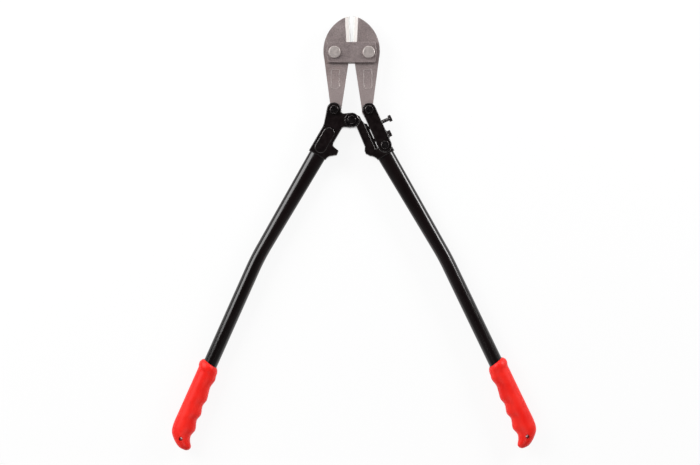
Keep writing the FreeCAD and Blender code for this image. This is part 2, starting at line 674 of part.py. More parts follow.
def lock_screw_washer():
    """Washer between the lock screw's head and the arm."""
    washer = ring(LOCK_WASHER_DIAMETER, SCREW_DIAMETER / 2 + SCREW_HOLE_PLAY,
                  LOCK_WASHER_THICKNESS)
    seat = on_arm(LOCK_SCREW_REACH, ARM_HALF_WIDTH + FACE_PLAY)
    return set_on_axis(washer, seat, arm_up, arm_outward)


def adjuster_pin():
    """Low-headed pin that the arm swings on."""
    head = chamfered_disc(ADJUSTER_PIN_HEAD_DIAMETER / 2, ADJUSTER_PIN_HEAD_HEIGHT, 1.2)
    end = -head_face - TOGGLE_NUT_HEIGHT + THREAD_RECESS
    shank = disc(ARM_PIVOT, ADJUSTER_PIN_DIAMETER / 2, end, head_face)
    return at_point(head, ARM_PIVOT, head_face).fuse(shank)


def adjuster_pin_nut():
    """Nut behind the arm on the adjuster pin."""
    return at_point(nut(TOGGLE_FLATS, ADJUSTER_PIN_DIAMETER, TOGGLE_NUT_HEIGHT), ARM_PIVOT,
                    -head_face, turn=20, upside_down=True)


# ---------------------------------------------------------------- handles
def bend_tangent(bend):
    """Distance from the corner of the bend to where the arc starts."""
    return BEND_RADIUS * math.tan(math.radians(bend / 2))


def lower_axis(bend):
    """Corner of the bend, direction of the lower tube, and its outward side."""
    corner = on_tube(BEND_DISTANCE)
    return corner, turned(tube_along, -bend), turned(tube_outward, -bend)


def tube_body(bend, wall, extra):
    """Solid rod along the tube's path: oval to round, bend, then straight."""
    tangent = bend_tangent(bend)
    upper_length = BEND_DISTANCE - tangent - TUBE_START
    radius = TUBE_DIAMETER / 2 - wall
    oval = Part.Ellipse(Vector(0, 0, -extra), TUBE_WIDTH / 2 - wall,
                        TUBE_FLAT_THICKNESS / 2 - wall).toShape()
    circle = Part.Circle(Vector(0, 0, upper_length), Vector(0, 0, 1), radius).toShape()
    upper = Part.makeLoft([Part.Wire(oval), Part.Wire(circle)], True, True)
    round_face = Part.Face(Part.Wire(circle))
    elbow = round_face.revolve(Vector(-BEND_RADIUS, 0, upper_length), Vector(0, -1, 0), bend)
    top = set_on_axis(upper.fuse(elbow), on_tube(TUBE_START), tube_outward, tube_along)
    corner, direction, outward = lower_axis(bend)
    lower_length = GRIP_DISTANCE + TUBE_IN_GRIP - tangent + extra
    lower = Part.makeCylinder(radius, lower_length)
    lower = set_on_axis(lower, corner + direction * tangent, outward, direction)
    return top.fuse(lower)


def tube(bend):
    """Steel tube of one handle, flattened at its upper end."""
    return tube_body(bend, 0.0, 0.0).cut(tube_body(bend, TUBE_WALL, 1.0))


def grip_ring(station, outer, inner, half_thickness, slant=0.0):
    """Oval section of the grip: distance from the mouth, reach to each side, thickness."""
    middle = (outer - inner) / 2
    half_width = (outer + inner) / 2
    count = 16
    points = []
    for k in range(count):
        turn = 2 * math.pi * k / count
        across = middle + half_width * math.cos(turn)
        points.append(Vector(across, half_thickness * math.sin(turn), station - slant * across))
    curve = Part.BSplineCurve()
    curve.interpolate(Points=points, PeriodicFlag=True)
    return Part.Wire(curve.toShape())


def grip(bend):
    """Moulded grip: lip at the mouth, finger waves on the inner side and a hooked end."""
    full = GRIP_HALF_THICKNESS
    mouth = TUBE_DIAMETER / 2 + 1.0
    sections = [
        (2, mouth, mouth, mouth, 0.23),
        (8, mouth + 3.6, mouth + 3.4, full - 1.6, 0.23),
        (16.5, 21.4, 20.4, full, 0.23),
        (28, 19.3, 22.3, full - 0.6),
        (45, 19.0, 19.3, full - 0.9),
        (58, 19.0, 21.0, full - 0.7),
        (72, 19.0, 23.4, full - 0.4),
        (86, 19.0, 20.5, full - 0.7),
        (104, 19.0, 24.6, full - 0.3),
        (117, 19.0, 21.5, full - 0.5),
        (136, 19.0, 26.7, full),
        (150, 17.6, 23.2, full - 0.5),
        (160, 13.9, 26.0, full - 2),
        (170, 4.8, 32.4, full - 5),
        (176, -3.0, 31.5, full - 8.5),
        (181, -11.0, 27.0, full - 14)]
    body = Part.makeLoft([grip_ring(*section) for section in sections], True, False)
    bore = Part.makeCylinder(TUBE_DIAMETER / 2 + GRIP_PLAY, TUBE_IN_GRIP + 10, Vector(0, 0, -10))
    body = body.cut(bore)
    hole_middle = Vector(-HANG_HOLE_INWARD, -2 * full, HANG_HOLE_DISTANCE)
    hang_hole = Part.makeCylinder(HANG_HOLE_DIAMETER / 2, 4 * full, hole_middle, Vector(0, 1, 0))
    body = body.cut(hang_hole)
    corner, direction, outward = lower_axis(bend)
    return set_on_axis(body, corner + direction * GRIP_DISTANCE, outward, direction)


# ---------------------------------------------------------------- assembly
def build():
    """Every piece by name, in the frame of the centre pivot."""
    return {
        "left_jaw": mirrored(jaw()),
        "right_jaw": jaw(),
        "front_link_plate": link_plate(front=True),
        "rear_link_plate": link_plate(front=False),
        "left_jaw_bolt": mirrored(jaw_bolt()),
        "right_jaw_bolt": jaw_bolt(),
        "left_jaw_washer": mirrored(jaw_washer()),
        "right_jaw_washer": jaw_washer(),
        "left_jaw_nut": mirrored(jaw_nut()),
        "right_jaw_nut": jaw_nut(),
        "centre_bolt": centre_bolt(),
        "centre_front_washer": centre_washer(lug_face),
        "centre_rear_washer": centre_washer(-lug_face - CENTRE_WASHER_THICKNESS),
        "centre_nut": centre_nut(),
        "left_handle_head": mirrored(left_handle_head()),
        "left_toggle_bolt": mirrored(toggle_bolt(turn=10)),
        "left_toggle_nut": mirrored(toggle_nut(turn=10)),
        "left_tube": mirrored(tube(LEFT_BEND)),
        "left_grip": mirrored(grip(LEFT_BEND)),
        "right_handle_head": right_handle_head(),
        "adjuster_arm": adjuster_arm(),
        "right_toggle_bolt": toggle_bolt(turn=0),
        "right_toggle_nut": toggle_nut(turn=0),
        "adjuster_pin": adjuster_pin(),
        "adjuster_pin_nut": adjuster_pin_nut(),
        "adjusting_screw": adjusting_screw(),
        "lock_screw": lock_screw(),
        "lock_screw_washer": lock_screw_washer(),
        "right_tube": tube(RIGHT_BEND),
        "right_grip": grip(RIGHT_BEND),
    }


def origin_in_pivot_frame(pieces):
    """Bottom centre of the box round every piece, to a tenth of a millimetre."""
    box = Part.makeCompound(list(pieces.values())).optimalBoundingBox(False)
    x = round((box.XMin + box.XMax) / 2, 1)
    y = round((box.YMin + box.YMax) / 2, 1)
    z = -plate_outside - JAW_WASHER_THICKNESS - JAW_NUT_HEIGHT
    return Vector(x, y, z)


pieces = build()
origin = origin_in_pivot_frame(pieces)
os.makedirs("parts", exist_ok=True)
for name, piece in pieces.items():
    piece.translate(-origin)
    piece.exportStep(os.path.join("parts", name + ".step"))
print("centre pivot at", -origin)
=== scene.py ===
"""Looks of the bolt cutters: finishes on the CAD nodes, moulded grips, tubes, threaded screws."""

import json
import math

import bmesh
import bpy
from mathutils import Matrix, Vector

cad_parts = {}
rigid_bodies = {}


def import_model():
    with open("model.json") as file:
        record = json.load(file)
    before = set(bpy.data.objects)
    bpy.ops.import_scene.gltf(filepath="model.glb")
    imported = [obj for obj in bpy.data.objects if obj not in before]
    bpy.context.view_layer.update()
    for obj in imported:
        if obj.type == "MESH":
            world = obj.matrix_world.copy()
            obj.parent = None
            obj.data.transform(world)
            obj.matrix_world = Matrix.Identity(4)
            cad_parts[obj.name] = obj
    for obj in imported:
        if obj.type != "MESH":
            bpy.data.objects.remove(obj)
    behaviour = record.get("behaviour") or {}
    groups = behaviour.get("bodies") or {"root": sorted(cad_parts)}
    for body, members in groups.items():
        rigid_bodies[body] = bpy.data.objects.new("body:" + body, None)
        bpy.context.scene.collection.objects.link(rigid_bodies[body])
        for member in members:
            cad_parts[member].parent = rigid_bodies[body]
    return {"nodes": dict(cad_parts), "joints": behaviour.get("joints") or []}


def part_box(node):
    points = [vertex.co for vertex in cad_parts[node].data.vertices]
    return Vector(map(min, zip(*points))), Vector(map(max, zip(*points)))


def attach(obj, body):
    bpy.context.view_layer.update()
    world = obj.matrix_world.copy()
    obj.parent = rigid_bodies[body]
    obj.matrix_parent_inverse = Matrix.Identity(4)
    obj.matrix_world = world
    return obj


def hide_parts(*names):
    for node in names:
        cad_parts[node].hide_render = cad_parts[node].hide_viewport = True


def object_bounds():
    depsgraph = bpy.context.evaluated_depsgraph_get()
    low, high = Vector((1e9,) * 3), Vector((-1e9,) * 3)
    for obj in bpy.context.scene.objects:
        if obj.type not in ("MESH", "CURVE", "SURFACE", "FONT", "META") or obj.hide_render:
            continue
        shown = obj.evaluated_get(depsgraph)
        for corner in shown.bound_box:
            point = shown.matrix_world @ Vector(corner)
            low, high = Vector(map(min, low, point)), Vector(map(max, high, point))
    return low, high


for leftover in list(bpy.data.objects):
    bpy.data.objects.remove(leftover)

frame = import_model()
cad_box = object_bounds()
nodes = frame["nodes"]
joints = {joint["name"]: joint for joint in frame["joints"]}
MM = 0.001

# ---------------------------------------------------------------- where things are
CENTRE = Vector(joints["left_handle_swing"]["pos_m"])
ARM_PIVOT = Vector(joints["adjuster_tilt"]["pos_m"])
SCREW_OUT = Vector(joints["adjusting_screw_turn"]["axis"]).normalized()
if SCREW_OUT.x < 0:
    SCREW_OUT = -SCREW_OUT
ARM_UP = Vector((-SCREW_OUT.y, SCREW_OUT.x, 0))
MIDDLE_Z = CENTRE.z

# Sizes shared with part.py, in millimetres and degrees.
HANDLE_ANGLE = 30.2
HANDLE_OFFSET = 24.0
BEND_DISTANCE = 331.5
LEFT_BEND = 6.1
RIGHT_BEND = 4.5
GRIP_DISTANCE = 230.0
TUBE_START = 95.0
TUBE_WIDTH = 34.5
TUBE_FLAT = 22.7
TUBE_RADIUS = 14.4
TUBE_WALL = 2.0
TUBE_SIDES = 96
TUBE_STEPS = 40
BEND_RADIUS = 480.0
BEND_STEPS = 16
TUBE_IN_GRIP = 148.0
TUBE_END_ROOM = 0.2
TUBE_CREASE = 40
HANG_HOLE_DISTANCE = 162.0
HANG_HOLE_INWARD = 8.0
HANG_HOLE_RADIUS = 4.0
SCREW_RADIUS = 4.0
SCREW_FLATS = 13.0
SCREW_HEAD_HEIGHT = 6.0
SCREW_PITCH = 1.25
ADJUSTING_SCREW = {"reach": 44.7, "seat": 28.6, "tip": -15.1}
LOCK_SCREW = {"reach": 17.5, "seat": 15.65, "tip": -26.2}


# ---------------------------------------------------------------- material graphs
class Graph:
    """Node graph of one material, with short calls for the nodes that the finishes share."""

    def __init__(self, name):
        self.material = bpy.data.materials.new(name)
        self.material.use_nodes = True
        self.tree = self.material.node_tree
        self.tree.nodes.clear()
        self.shader = self.add("ShaderNodeBsdfPrincipled")
        output = self.add("ShaderNodeOutputMaterial")
        self.join(self.shader.outputs["BSDF"], output.inputs["Surface"])
        self.place = self.add("ShaderNodeTexCoord").outputs["Object"]
        self.geometry = self.add("ShaderNodeNewGeometry")

    def add(self, kind):
        return self.tree.nodes.new(kind)

    def join(self, source, target):
        self.tree.links.new(source, target)

    def feed(self, socket, value):
        """Sets a socket to a number or colour, or links it to another node's output."""
        if isinstance(value, bpy.types.NodeSocket):
            self.join(value, socket)
        else:
            socket.default_value = value

    def set(self, **values):
        """Inputs of the shader by name, with _ for a space."""
        for name, value in values.items():
            self.feed(self.shader.inputs[name.replace("_", " ")], value)

    def stretched(self, scale, turn=0.0):
        """The object's coordinates, turned about Z by degrees and then scaled."""
        node = self.add("ShaderNodeMapping")
        node.vector_type = "TEXTURE"
        node.inputs["Rotation"].default_value = (0, 0, math.radians(turn))
        node.inputs["Scale"].default_value = tuple(1 / s for s in scale)
        self.join(self.place, node.inputs["Vector"])
        return node.outputs["Vector"]

    def noise(self, scale, detail=3.0, roughness=0.55, distortion=0.0, vector=None):
        node = self.add("ShaderNodeTexNoise")
        self.join(vector or self.place, node.inputs["Vector"])
        node.inputs["Scale"].default_value = scale
        node.inputs["Detail"].default_value = detail
        node.inputs["Roughness"].default_value = roughness
        node.inputs["Distortion"].default_value = distortion
        return node.outputs["Fac"]

    def ramp(self, value, low, high, to_low=0.0, to_high=1.0):
        """Value between low and high, spread over to_low to to_high and held beyond them."""
        node = self.add("ShaderNodeMapRange")
        node.interpolation_type = "SMOOTHSTEP"
        self.feed(node.inputs["Value"], value)
        node.inputs["From Min"].default_value = low
        node.inputs["From Max"].default_value = high
        node.inputs["To Min"].default_value = to_low
        node.inputs["To Max"].default_value = to_high
        return node.outputs["Result"]

    def math(self, operation, first, second=0.0):
        node = self.add("ShaderNodeMath")
        node.operation = operation
        self.feed(node.inputs[0], first)
        self.feed(node.inputs[1], second)
        return node.outputs["Value"]

    def mix(self, factor, first, second):
        """Colour between two others."""
        node = self.add("ShaderNodeMix")
        node.data_type = "RGBA"
        self.feed(node.inputs["Factor"], factor)
        for socket, value in ((node.inputs[6], first), (node.inputs[7], second)):
            if not isinstance(value, bpy.types.NodeSocket):
                value = (*value, 1.0)
            self.feed(socket, value)
        return node.outputs[2]

    def part_of(self, vector, axis):
        """One coordinate of a vector."""
        node = self.add("ShaderNodeSeparateXYZ")
        self.join(vector, node.inputs["Vector"])
        return node.outputs[axis]

    def edge_round(self, radius, samples=6):
        """Normal that rounds the sharp edges off."""
        node = self.add("ShaderNodeBevel")
        node.samples = samples
        node.inputs["Radius"].default_value = radius
        return node.outputs["Normal"]

    def edge_mask(self, rounded, start=0.985, full=0.86):
        """1 on an edge that edge_round rounds, and 0 on open faces."""
        node = self.add("ShaderNodeVectorMath")
        node.operation = "DOT_PRODUCT"
        self.join(rounded, node.inputs[0])
        self.join(self.geometry.outputs["Normal"], node.inputs[1])
        return self.ramp(node.outputs["Value"], full, start, 1.0, 0.0)

    def bump(self, height, distance, strength=1.0, normal=None):
        node = self.add("ShaderNodeBump")
        node.inputs["Distance"].default_value = distance
        node.inputs["Strength"].default_value = strength
        self.join(height, node.inputs["Height"])
        if normal is not None:
            self.join(normal, node.inputs["Normal"])
        return node.outputs["Normal"]


def bare_steel(name, dark, light, grain_turn, tail_y=None):
    """Forged steel with a ground face: fine grain, slight warm mottling and edges painted lighter as
    an edge highlight.
    """
    graph = Graph(name)
    rounded = graph.edge_round(0.6 * MM)
    edge = graph.edge_mask(rounded)
    mottle = graph.ramp(graph.noise(38, 3.0, 0.6), 0.3, 0.7)
    speckle = graph.noise(620, 2.0, 0.75)
    grain = graph.noise(60, 3.0, 0.6, vector=graph.stretched((2.2, 24, 24), grain_turn))
    colour = graph.mix(mottle, dark, light)
    warm = graph.ramp(graph.noise(21, 2.0), 0.52, 0.74, 0.0, 0.5)
    colour = graph.mix(warm, colour, (light[0] * 1.06, light[1] * 0.93, light[2] * 0.86))
    colour = graph.mix(graph.ramp(speckle, 0.42, 0.7, 0.0, 0.45), colour,
                       tuple(1.5 * c for c in light))
    colour = graph.mix(graph.ramp(speckle, 0.5, 0.3, 0.0, 0.5), colour,
                       tuple(0.55 * c for c in dark))
    if tail_y is not None:
        y = graph.part_of(graph.place, "Y")
        tail = graph.ramp(y, tail_y, tail_y - 0.04, 0.0, 0.5)
        colour = graph.mix(tail, colour, tuple(1.45 * c for c in light))
    # Painted edge highlight: a lighter colour along the rounded edges.
    colour = graph.mix(edge, colour, (0.56, 0.51, 0.49))
    height = graph.math("ADD", graph.math("MULTIPLY", speckle, 0.6), grain)
    graph.set(
        Base_Color=colour,
        Metallic=0.55,
        Roughness=graph.ramp(grain, 0.25, 0.75, 0.36, 0.56),
        Normal=graph.bump(height, 0.05 * MM, 0.55, rounded))
    return graph


def jaw_steel():
    """Bare steel whose slanted faces are the bright ground bevels beside the cutting edge."""
    graph = bare_steel("jaw_steel_ground", (0.235, 0.190, 0.188), (0.315, 0.260, 0.255), 90,
                       tail_y=CENTRE.y + 0.105)
    colour = graph.shader.inputs["Base Color"].links[0].from_socket
    up = graph.math("ABSOLUTE", graph.part_of(graph.geometry.outputs["True Normal"], "Z"))
    bevel = graph.ramp(up, 0.93, 0.96, 1.0, 0.0)
    wall = graph.ramp(up, 0.45, 0.55)
    bevel = graph.math("MULTIPLY", bevel, wall)
    last_grind = graph.ramp(up, 0.78, 0.82, 1.0, 0.0)
    strokes = graph.noise(90, 2.0, 0.6, vector=graph.stretched((14, 1.2, 14)))
    ground = graph.mix(graph.ramp(strokes, 0.3, 0.7), (0.52, 0.485, 0.465), (0.62, 0.58, 0.555))
    keen = graph.mix(graph.ramp(strokes, 0.3, 0.7), (0.66, 0.67, 0.65), (0.80, 0.81, 0.79))
    ground = graph.mix(last_grind, ground, keen)
    mixed = graph.mix(bevel, colour, ground)
    graph.set(Base_Color=mixed)
    graph.set(Metallic=graph.ramp(bevel, 0.0, 1.0, 0.55, 0.1))
    graph.set(Roughness=graph.ramp(bevel, 0.0, 1.0, 0.46, 0.42))
    return graph.material


def turned_steel(name, centres, base):
    """Bright bolt steel with the fine rings that facing in a lathe leaves round each centre."""
    graph = Graph(name)
    rounded = graph.edge_round(0.5 * MM)
    edge = graph.edge_mask(rounded)
    rings = None
    for centre in centres:
        away = graph.add("ShaderNodeVectorMath")
        away.operation = "DISTANCE"
        flat = graph.add("ShaderNodeVectorMath")
        flat.operation = "MULTIPLY"
        graph.join(graph.place, flat.inputs[0])
        flat.inputs[1].default_value = (1, 1, 0)
        graph.join(flat.outputs["Vector"], away.inputs[0])
        away.inputs[1].default_value = (centre.x, centre.y, 0)
        distance = away.outputs["Value"]
        rings = distance if rings is None else graph.math("MINIMUM", rings, distance)
    wave = graph.math("SINE", graph.math("MULTIPLY", rings, 2 * math.pi / (0.55 * MM)))
    scratch = graph.noise(500, 3.0, 0.7)
    blotch = graph.ramp(graph.noise(120, 2.0), 0.35, 0.7)
    colour = graph.mix(blotch, tuple(0.82 * c for c in base), base)
    colour = graph.mix(graph.ramp(scratch, 0.5, 0.75, 0.0, 0.5), colour,
                       tuple(min(1.0, 1.35 * c) for c in base))
    # Painted edge highlight: a lighter colour along the rounded edges of the heads, nuts and
    # washers.
    colour = graph.mix(edge, colour, (0.78, 0.76, 0.73))
    height = graph.math("ADD", graph.math("MULTIPLY", wave, 0.25), scratch)
    graph.set(
        Base_Color=colour,
        Metallic=0.6,
        Roughness=graph.ramp(scratch, 0.3, 0.7, 0.28, 0.42),
        Normal=graph.bump(height, 0.02 * MM, 0.5, rounded))
    return graph.material


def black_enamel():
    """Smooth stoved enamel on the tubes: deep black with slight orange peel and dust."""
    graph = Graph("black_enamel")
    peel = graph.noise(90, 1.0, 0.5)
    dust = graph.ramp(graph.noise(900, 2.0, 0.8), 0.64, 0.8)
    haze = graph.noise(14, 3.0, 0.6)
    colour = graph.mix(graph.ramp(haze, 0.3, 0.7), (0.0034, 0.0016, 0.0018),
                       (0.0056, 0.0028, 0.0030))
    colour = graph.mix(graph.math("MULTIPLY", dust, 0.15), colour, (0.020, 0.016, 0.016))
    graph.set(
        Base_Color=colour,
        Roughness=graph.ramp(haze, 0.3, 0.7, 0.17, 0.21),
        IOR=1.5,
        Specular_IOR_Level=0.5,
        Normal=graph.bump(peel, 0.006 * MM, 0.3))
    return graph.material


def black_cast(name, grit, shine):
    """Black paint over a forged or cast surface: soft lumps, fine grit and rounded edges, with
    lighter, metallic edges as a painted edge highlight.
    """
    graph = Graph(name)
    rounded = graph.edge_round(2.0 * MM, 8)
    edge = graph.edge_mask(rounded, 0.985, 0.88)
    lumps = graph.noise(110, 3.0, 0.55)
    pits = graph.noise(780, 2.0, 0.7)
    colour = graph.mix(graph.ramp(lumps, 0.3, 0.7), (0.0036, 0.0020, 0.0022),
                       (0.0068, 0.0040, 0.0042))
    # Painted edge highlight: patchy lighter, metallic colour along the rounded edges stands in for
    # the glints of the glossy paint.
    painted_edge_highlight = graph.math("MULTIPLY", edge, graph.ramp(graph.noise(60, 4.0, 0.7), 0.36, 0.62, 0.2, 0.75))
    colour = graph.mix(painted_edge_highlight, colour, (0.15, 0.14, 0.136))
    height = graph.math("ADD", graph.math("MULTIPLY", pits, grit), lumps)
    graph.set(
        Base_Color=colour,
        Metallic=graph.math("MULTIPLY", painted_edge_highlight, 0.85),
        Roughness=graph.ramp(lumps, 0.3, 0.7, shine, shine + 0.08),
        Specular_IOR_Level=0.5,
        Normal=graph.bump(height, 0.035 * MM, 0.5, rounded))
    return graph.material


def black_oxide():
    """Blackened fasteners: near-black and satin, with a lighter metal colour on the edges as a
    painted edge glint.
    """
    graph = Graph("black_oxide_oiled")
    rounded = graph.edge_round(0.7 * MM, 8)
    edge = graph.edge_mask(rounded, 0.988, 0.9)
    cloud = graph.noise(150, 3.0, 0.6)
    fine = graph.noise(1100, 2.0, 0.7)
    colour = graph.mix(graph.ramp(cloud, 0.3, 0.7), (0.034, 0.029, 0.031),
                       (0.062, 0.053, 0.055))
    # Painted edge glint: a lighter colour along the rounded edges of the heads and nuts stands in
    # for their glints.
    painted_edge_glint = graph.math("MULTIPLY", edge, graph.ramp(cloud, 0.35, 0.6, 0.35, 0.9))
    colour = graph.mix(painted_edge_glint, colour, (0.46, 0.43, 0.42))
    graph.set(
        Base_Color=colour,
        Metallic=1.0,
        Roughness=graph.ramp(cloud, 0.3, 0.7, 0.24, 0.34),
        Normal=graph.bump(fine, 0.02 * MM, 0.5, rounded))
    return graph.material


def red_plastic():
    """Soft red moulded vinyl: even colour, fine pebbled skin and a low sheen."""
    graph = Graph("red_moulded_vinyl")
    cloud = graph.noise(24, 3.0, 0.55)
    pebble = graph.noise(850, 2.0, 0.6)
    scuff = graph.ramp(graph.noise(46, 4.0, 0.7, 1.2), 0.62, 0.8)
    colour = graph.mix(graph.ramp(cloud, 0.32, 0.68), (0.86, 0.0105, 0.0055),
                       (0.96, 0.020, 0.0105))
    colour = graph.mix(graph.math("MULTIPLY", scuff, 0.25), colour, (0.95, 0.075, 0.045))
    graph.set(
        Base_Color=colour,
        Roughness=graph.ramp(cloud, 0.3, 0.7, 0.4, 0.5),
        Specular_IOR_Level=0.3,
        Normal=graph.bump(pebble, 0.05 * MM, 0.4))
    return graph.material


# ---------------------------------------------------------------- finishes on the CAD nodes
def box_middle(name):
    low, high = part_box(name)
    return (low + high) / 2


FINISHES = {
    "jaw": jaw_steel(),
    "link": bare_steel("link_plate_steel", (0.225, 0.181, 0.180), (0.305, 0.252, 0.248), 0).material,
    "bright": turned_steel("turned_bolt_steel",
                           [box_middle("left_jaw_bolt"), box_middle("right_jaw_bolt")],
                           (0.64, 0.57, 0.545)),
    "enamel": black_enamel(),
    "cast": black_cast("black_painted_forging", 0.35, 0.17),
    "oxide": black_oxide(),
    "red": red_plastic(),
}
WEARS = {
    "jaw": ["left_jaw", "right_jaw"],
    "link": ["front_link_plate", "rear_link_plate"],
    "bright": ["left_jaw_bolt", "right_jaw_bolt", "left_jaw_nut", "right_jaw_nut",
               "left_jaw_washer", "right_jaw_washer"],
    "enamel": ["left_tube", "right_tube"],
    "cast": ["left_handle_head", "right_handle_head", "adjuster_arm"],
    "oxide": ["left_toggle_bolt", "right_toggle_bolt", "left_toggle_nut", "right_toggle_nut",
              "centre_bolt", "centre_nut", "centre_front_washer", "centre_rear_washer",
              "adjuster_pin", "adjuster_pin_nut", "lock_screw_washer",
              "adjusting_screw", "lock_screw"],
    "red": ["left_grip", "right_grip"],
}
for finish, names in WEARS.items():
    for name in names:
        for index in range(len(nodes[name].material_slots)):
            nodes[name].material_slots[index].material = FINISHES[finish]


# ---------------------------------------------------------------- mesh helpers
def spin(vector, degrees):
    """Vector turned about Z."""
    return Matrix.Rotation(math.radians(degrees), 3, "Z") @ vector


def new_piece(name, shape, material, smooth_angle):
    """Object from a bmesh, shaded smooth up to an angle in degrees."""
    bmesh.ops.recalc_face_normals(shape, faces=shape.faces)
    mesh = bpy.data.meshes.new(name)
    shape.to_mesh(mesh)
    shape.free()
    mesh.polygons.foreach_set("use_smooth", [True] * len(mesh.polygons))
    mesh.set_sharp_from_angle(angle=math.radians(smooth_angle))
    mesh.materials.append(material)
    piece = bpy.data.objects.new(name, mesh)
    bpy.context.scene.collection.objects.link(piece)
    return piece


def loft(shape, rings, close_first, close_last):
    """Skin through rings of points with equal counts; an end can close on its middle point."""
    loops = [[shape.verts.new(point) for point in ring] for ring in rings]
    count = len(loops[0])
    for near, far in zip(loops, loops[1:]):
        for k in range(count):
            following = (k + 1) % count
            shape.faces.new((near[k], near[following], far[following], far[k]))
    for loop, middle in ((loops[0], close_first), (loops[-1], close_last)):
        if middle is not None:
            apex = shape.verts.new(middle)
            for k in range(count):
                shape.faces.new((loop[k], loop[(k + 1) % count], apex))
    return loops


def along_table(rows, station):
    """Row of a table at a station, by a smooth curve through the rows' values."""
    upper = next((k for k in range(1, len(rows)) if rows[k][0] >= station), len(rows) - 1)
    lower = upper - 1
    x0, x1 = rows[lower][0], rows[upper][0]
    width = x1 - x0
    t = min(max((station - x0) / width, 0.0), 1.0)

    def slope(index, column):
        before = rows[max(index - 1, 0)]
        after = rows[min(index + 1, len(rows) - 1)]
        return (after[column] - before[column]) / (after[0] - before[0])

    values = []
    for column in range(1, len(rows[0])):
        y0, y1 = rows[lower][column], rows[upper][column]
        m0, m1 = slope(lower, column) * width, slope(upper, column) * width
        values.append(y0 * (2 * t ** 3 - 3 * t ** 2 + 1) + m0 * (t ** 3 - 2 * t ** 2 + t)
                      + y1 * (3 * t ** 2 - 2 * t ** 3) + m1 * (t ** 3 - t ** 2))
    return values


def cut_away(piece, cutter):
    """Takes the cutter's shape out of a piece and keeps the result as its mesh."""
    modifier = piece.modifiers.new("cut", "BOOLEAN")
    modifier.operation = "DIFFERENCE"
    modifier.solver = "EXACT"
    modifier.object = cutter
    bpy.context.view_layer.update()
    graph = bpy.context.evaluated_depsgraph_get()
    mesh = bpy.data.meshes.new_from_object(piece.evaluated_get(graph))
    piece.modifiers.clear()
    piece.data = mesh
    bpy.data.objects.remove(cutter)


# ---------------------------------------------------------------- grips
# Distance from the mouth, reach outward, reach inward, half thickness, slant of the section.
GRIP_ROWS = [
    (2.0, 15.4, 15.4, 15.4, 0.23),
    (4.6, 18.3, 18.1, 17.5, 0.23),
    (9.0, 20.6, 20.0, 19.1, 0.23),
    (14.0, 21.4, 20.6, 19.5, 0.22),
    (17.5, 20.7, 20.9, 19.2, 0.21),
    (20.5, 19.3, 21.5, 18.8, 0.18),
    (28.0, 19.1, 22.3, 18.8, 0.10),
    (45.0, 19.0, 19.3, 18.6, 0.0),
    (58.0, 19.0, 21.0, 18.8, 0.0),
    (72.0, 19.0, 23.4, 19.1, 0.0),
    (86.0, 19.0, 20.5, 18.8, 0.0),
    (104.0, 19.0, 24.6, 19.2, 0.0),
    (117.0, 19.0, 21.5, 19.0, 0.0),
    (136.0, 19.0, 26.7, 19.5, 0.0),
    (150.0, 17.6, 23.2, 19.0, 0.0),
    (160.0, 13.9, 26.0, 17.5, 0.0),
    (170.0, 4.8, 32.4, 14.5, 0.0),
    (176.0, -3.0, 31.5, 11.0, 0.0),
    (179.4, -9.2, 28.4, 7.2, 0.0),
    (180.5, -12.2, 25.6, 4.4, 0.0),
    (180.95, -15.2, 22.4, 1.9, 0.0),
]
GRIP_END = Vector((-18.8, 0, 181.0))
FINE_TURNS = [0.0, 0.9, 2.2, 4.2]
COARSE_STEP = 3.0
SEAM_HEIGHT = 0.22
SEAM_SPREAD = 1.3          # degrees
SEAM_STATIONS = (8, 178)
GRIP_CREASE = 50           # degrees
MOUTH_SLANT = 0.23
BORE_ROOM = 0.1
MOUTH_STEP = 0.65
BODY_STEP = 1.7
HOOK_START = 170
HOOK_STEP = 0.75
HOLE_SIDES = 40
HOLE_REACH = 24.0          # how far the hole's cutter goes each way from the middle plane
GRIP_ROOM = 0.32          # how far the surface keeps inside the CAD grip, so that the seam fits


def grip_turns():
    """Angles round the grip: even steps, with close ones at the mould's parting line."""
    quarter = FINE_TURNS + [FINE_TURNS[-1] + COARSE_STEP * k for k in range(1, 28)]
    quarter = [turn for turn in quarter if turn < 88] + [90.0]
    half = quarter + [180 - turn for turn in reversed(quarter[:-1])]
    return half[:-1] + [180 + turn for turn in half[:-1]]


def grip_ring(values, station, turns):
    """Oval section, in millimetres: across the grip, through its thickness, along it."""
    outer, inner, half_thickness, slant = values
    middle = (outer - inner) / 2
    half_width = (outer + inner) / 2
    ring = []
    for turn in turns:
        angle = math.radians(turn)
        from_seam = min(abs((turn + 90) % 180 - 90), 90)
        seam = SEAM_HEIGHT * math.exp(-(from_seam / SEAM_SPREAD) ** 2)
        if station < SEAM_STATIONS[0] or station > SEAM_STATIONS[1]:
            seam = 0.0
        across = middle + (half_width - GRIP_ROOM + seam) * math.cos(angle)
        ring.append(Vector((across, half_thickness * math.sin(angle), station - slant * across)))
    return ring


def bore_ring(radius, station, slant, turns):
    ring = []
    for turn in turns:
        angle = math.radians(turn)
        across = radius * math.cos(angle)
        ring.append(Vector((across, radius * math.sin(angle), station - slant * across)))
    return ring


def grip_frame(bend, side):
    """Matrix from a grip's own millimetres (across, thickness, along) to the row frame."""
    outward = spin(Vector((1, 0, 0)), HANDLE_ANGLE)
    along = spin(Vector((1, 0, 0)), HANDLE_ANGLE - 90)
    corner = along * BEND_DISTANCE + outward * HANDLE_OFFSET
    low_along = spin(along, -bend)
    low_outward = spin(outward, -bend)
    mouth = corner + low_along * GRIP_DISTANCE
    rows = Matrix((
        (low_outward.x, 0, low_along.x, mouth.x),
        (low_outward.y, 0, low_along.y, mouth.y),
        (0, 1, 0, 0),
        (0, 0, 0, 1)))
    mirror = Matrix.Diagonal((side, 1, 1, 1))
    return Matrix.Translation(CENTRE) @ Matrix.Scale(MM, 4) @ mirror @ rows


